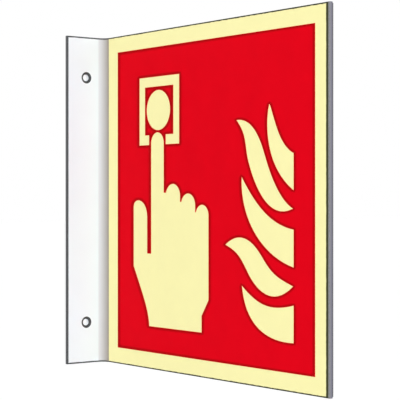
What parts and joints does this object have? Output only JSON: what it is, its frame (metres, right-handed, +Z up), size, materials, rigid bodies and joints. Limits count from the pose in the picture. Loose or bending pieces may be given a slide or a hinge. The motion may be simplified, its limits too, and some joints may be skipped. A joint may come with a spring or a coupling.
{
  "type": "projecting fire alarm sign",
  "caption": "Projecting fire alarm call point sign, a folded coated sheet with a drilled wall flange and a printed afterglow panel.",
  "frame": {"origin": "on the wall plane, midway between the two screw holes of the flange", "axes": "+Y into the wall, +Z up the wall; the panel stands out towards -Y and the flange runs towards -X from it"},
  "size_m": [0.0305, 0.208, 0.2],
  "materials": {
    "coated_sheet": "smooth white powder coat on aluminium sheet, dull bare metal on the cut edges",
    "afterglow_film": "pale yellow afterglow film, matte, with a fine grain",
    "red_ink": "signal red screen print, semi-matte"
  },
  "bodies": {
    "root": {"bent_sheet": "coated_sheet", "luminous_film_left": "afterglow_film", "luminous_film_right": "afterglow_film", "red_print_left": "red_ink", "red_print_right": "red_ink"}
  },
  "joints": []
}
